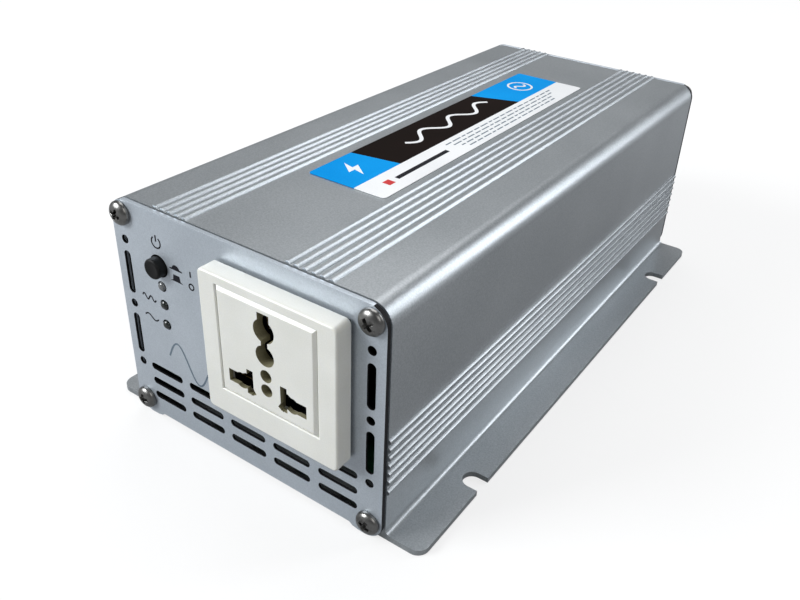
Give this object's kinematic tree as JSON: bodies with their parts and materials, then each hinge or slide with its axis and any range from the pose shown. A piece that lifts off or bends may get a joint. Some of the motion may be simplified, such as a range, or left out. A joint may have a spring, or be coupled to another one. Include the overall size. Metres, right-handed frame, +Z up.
{
  "type": "power inverter",
  "caption": "Box-shaped DC to AC power inverter: ribbed aluminium case with notched side flanges, universal mains socket and push button in front, fan and DC binding posts behind.",
  "frame": {"origin": "on the surface that the flanges rest on, under the middle of the whole object's box", "axes": "+Z up; +Y from the socket end to the fan and terminal end; +X to the right when facing the socket"},
  "size_m": [0.131, 0.2658, 0.0829],
  "materials": {
    "anodised_case": "satin anodised extrusion",
    "panel_silver": "fine satin silver sheet",
    "chrome": "bright plated",
    "ivory_plastic": "smooth moulded",
    "black_plastic": "moulded",
    "red_plastic": "moulded",
    "brass": "bright",
    "led_lens": "smoked clear",
    "label_print": "printed film",
    "board_laminate": "solder mask",
    "ferrite": "sintered ferrite",
    "winding_tape": "polyester tape",
    "enamelled_copper": "enamelled wire",
    "capacitor_sleeve": "shrink sleeve",
    "transistor_epoxy": "moulded epoxy",
    "wire_red": "silicone insulation",
    "wire_black": "silicone insulation",
    "fuse_amber": "translucent moulding"
  },
  "bodies": {
    "case": {"case_shell": "anodised_case", "bottom_plate": "anodised_case", "clamp_bar_left": "anodised_case", "clamp_bar_right": "anodised_case", "front_panel": "panel_silver", "rear_panel": "panel_silver", "front_screw_top_left": "chrome", "front_screw_top_right": "chrome", "front_screw_bottom_left": "chrome", "front_screw_bottom_right": "chrome", "rear_screw_top_left": "chrome", "rear_screw_top_right": "chrome", "rear_screw_bottom_left": "chrome", "rear_screw_bottom_right": "chrome", "fan_guard": "chrome", "fan_screw_1": "chrome", "fan_screw_2": "chrome", "fan_screw_3": "chrome", "fan_screw_4": "chrome", "socket_frame": "ivory_plastic", "socket_insert": "ivory_plastic", "socket_housing": "black_plastic", "switch_body": "black_plastic", "fan_frame": "black_plastic", "negative_collar": "black_plastic", "positive_collar": "red_plastic", "live_contact": "brass", "neutral_contact": "brass", "earth_contact": "brass", "positive_stud": "brass", "negative_stud": "brass", "earth_screw": "brass", "upper_led": "led_lens", "middle_led": "led_lens", "lower_led": "led_lens", "top_label": "label_print", "front_board": "board_laminate", "main_board": "board_laminate", "driver_board": "board_laminate", "transformer_core": "ferrite", "transformer_winding": "winding_tape", "output_choke": "enamelled_copper", "input_capacitor_1": "capacitor_sleeve", "input_capacitor_2": "capacitor_sleeve", "bus_capacitor_1": "capacitor_sleeve", "bus_capacitor_2": "capacitor_sleeve", "transistor_left_1": "transistor_epoxy", "transistor_left_2": "transistor_epoxy", "transistor_right_1": "transistor_epoxy", "transistor_right_2": "transistor_epoxy", "positive_lead": "wire_red", "live_lead": "wire_red", "negative_lead": "wire_black", "neutral_lead": "wire_black", "dc_fuse": "fuse_amber"},
    "button": {"power_button": "black_plastic", "switch_plunger": "ivory_plastic"},
    "fan": {"fan_rotor": "black_plastic"},
    "red_knob": {"positive_knob": "red_plastic"},
    "black_knob": {"negative_knob": "black_plastic"}
  },
  "joints": [
    {"name": "button_press", "type": "slide", "parent": "case", "child": "button", "axis": [0, 1, 0], "range_m": [0, 0.0025], "stiffness_N_per_m": 200, "springref_m": -0.002},
    {"name": "fan_spin", "type": "hinge", "parent": "case", "child": "fan", "pos_m": [0.0158, 0.10145, 0.0415], "axis": [0, 1, 0], "continuous": true},
    {"name": "red_knob_turn", "type": "hinge", "parent": "case", "child": "red_knob", "pos_m": [-0.031, 0.12445, 0.058], "axis": [0, 1, 0], "continuous": true},
    {"name": "black_knob_turn", "type": "hinge", "parent": "case", "child": "black_knob", "pos_m": [-0.031, 0.12445, 0.027], "axis": [0, 1, 0], "continuous": true}
  ]
}
